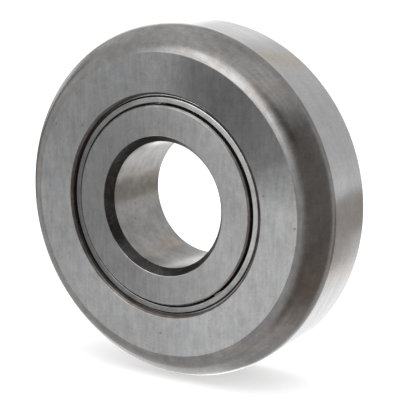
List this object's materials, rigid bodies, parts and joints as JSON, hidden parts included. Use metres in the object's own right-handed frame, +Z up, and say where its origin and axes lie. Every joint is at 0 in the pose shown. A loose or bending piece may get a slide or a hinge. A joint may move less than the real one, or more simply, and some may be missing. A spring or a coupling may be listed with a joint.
{
  "type": "cam follower",
  "caption": "Yoke-type cam follower: a thick chamfered outer ring that rolls on caged cylindrical rollers around a bored inner ring, with a shield on each side.",
  "frame": {"origin": "on the axis of rotation, halfway along the inner ring, which is also the centre of the bounding box", "axes": "+Y along the axis of rotation, from the front face with the wide chamfer to the rear face; +Z up as the follower stands on its tread; +X to the right seen from the front"},
  "size_m": [0.098, 0.0264, 0.098],
  "materials": {
    "tread_steel": "ground bearing steel, matt side faces, brighter tread, dark as-machined chamfer",
    "inner_steel": "ground bearing steel with dark bore chamfers",
    "shield_steel": "bright pressed sheet steel",
    "roller_steel": "polished hardened steel",
    "cage_nylon": "moulded glass-filled nylon"
  },
  "bodies": {
    "inner": {"inner_ring": "inner_steel", "flange_ring": "inner_steel"},
    "outer": {"outer_ring": "tread_steel", "front_shield": "shield_steel", "rear_shield": "shield_steel"},
    "cage": {"roller_cage": "cage_nylon"},
    "roller_01": {"roller_01": "roller_steel"},
    "roller_02": {"roller_02": "roller_steel"},
    "roller_03": {"roller_03": "roller_steel"},
    "roller_04": {"roller_04": "roller_steel"},
    "roller_05": {"roller_05": "roller_steel"},
    "roller_06": {"roller_06": "roller_steel"},
    "roller_07": {"roller_07": "roller_steel"},
    "roller_08": {"roller_08": "roller_steel"},
    "roller_09": {"roller_09": "roller_steel"},
    "roller_10": {"roller_10": "roller_steel"},
    "roller_11": {"roller_11": "roller_steel"},
    "roller_12": {"roller_12": "roller_steel"},
    "roller_13": {"roller_13": "roller_steel"},
    "roller_14": {"roller_14": "roller_steel"}
  },
  "joints": [
    {"name": "outer_spin", "type": "hinge", "parent": "inner", "child": "outer", "pos_m": [0, 0, 0], "axis": [0, 1, 0], "continuous": true},
    {"name": "cage_spin", "type": "hinge", "parent": "inner", "child": "cage", "pos_m": [0, 0, 0], "axis": [0, 1, 0], "continuous": true},
    {"name": "roller_01_spin", "type": "hinge", "parent": "cage", "child": "roller_01", "pos_m": [0.029, -0.0005, 0], "axis": [0, 1, 0], "continuous": true},
    {"name": "roller_02_spin", "type": "hinge", "parent": "cage", "child": "roller_02", "pos_m": [0.02613, -0.0005, 0.01258], "axis": [0, 1, 0], "continuous": true},
    {"name": "roller_03_spin", "type": "hinge", "parent": "cage", "child": "roller_03", "pos_m": [0.01808, -0.0005, 0.02267], "axis": [0, 1, 0], "continuous": true},
    {"name": "roller_04_spin", "type": "hinge", "parent": "cage", "child": "roller_04", "pos_m": [0.00645, -0.0005, 0.02827], "axis": [0, 1, 0], "continuous": true},
    {"name": "roller_05_spin", "type": "hinge", "parent": "cage", "child": "roller_05", "pos_m": [-0.00645, -0.0005, 0.02827], "axis": [0, 1, 0], "continuous": true},
    {"name": "roller_06_spin", "type": "hinge", "parent": "cage", "child": "roller_06", "pos_m": [-0.01808, -0.0005, 0.02267], "axis": [0, 1, 0], "continuous": true},
    {"name": "roller_07_spin", "type": "hinge", "parent": "cage", "child": "roller_07", "pos_m": [-0.02613, -0.0005, 0.01258], "axis": [0, 1, 0], "continuous": true},
    {"name": "roller_08_spin", "type": "hinge", "parent": "cage", "child": "roller_08", "pos_m": [-0.029, -0.0005, 0], "axis": [0, 1, 0], "continuous": true},
    {"name": "roller_09_spin", "type": "hinge", "parent": "cage", "child": "roller_09", "pos_m": [-0.02613, -0.0005, -0.01258], "axis": [0, 1, 0], "continuous": true},
    {"name": "roller_10_spin", "type": "hinge", "parent": "cage", "child": "roller_10", "pos_m": [-0.01808, -0.0005, -0.02267], "axis": [0, 1, 0], "continuous": true},
    {"name": "roller_11_spin", "type": "hinge", "parent": "cage", "child": "roller_11", "pos_m": [-0.00645, -0.0005, -0.02827], "axis": [0, 1, 0], "continuous": true},
    {"name": "roller_12_spin", "type": "hinge", "parent": "cage", "child": "roller_12", "pos_m": [0.00645, -0.0005, -0.02827], "axis": [0, 1, 0], "continuous": true},
    {"name": "roller_13_spin", "type": "hinge", "parent": "cage", "child": "roller_13", "pos_m": [0.01808, -0.0005, -0.02267], "axis": [0, 1, 0], "continuous": true},
    {"name": "roller_14_spin", "type": "hinge", "parent": "cage", "child": "roller_14", "pos_m": [0.02613, -0.0005, -0.01258], "axis": [0, 1, 0], "continuous": true}
  ],
  "couplings": [
    {"joint": "cage_spin", "follows": "outer_spin", "ratio": 0.5819},
    {"joint": "roller_01_spin", "follows": "outer_spin", "ratio": 2.9707},
    {"joint": "roller_02_spin", "follows": "outer_spin", "ratio": 2.9707},
    {"joint": "roller_03_spin", "follows": "outer_spin", "ratio": 2.9707},
    {"joint": "roller_04_spin", "follows": "outer_spin", "ratio": 2.9707},
    {"joint": "roller_05_spin", "follows": "outer_spin", "ratio": 2.9707},
    {"joint": "roller_06_spin", "follows": "outer_spin", "ratio": 2.9707},
    {"joint": "roller_07_spin", "follows": "outer_spin", "ratio": 2.9707},
    {"joint": "roller_08_spin", "follows": "outer_spin", "ratio": 2.9707},
    {"joint": "roller_09_spin", "follows": "outer_spin", "ratio": 2.9707},
    {"joint": "roller_10_spin", "follows": "outer_spin", "ratio": 2.9707},
    {"joint": "roller_11_spin", "follows": "outer_spin", "ratio": 2.9707},
    {"joint": "roller_12_spin", "follows": "outer_spin", "ratio": 2.9707},
    {"joint": "roller_13_spin", "follows": "outer_spin", "ratio": 2.9707},
    {"joint": "roller_14_spin", "follows": "outer_spin", "ratio": 2.9707}
  ]
}
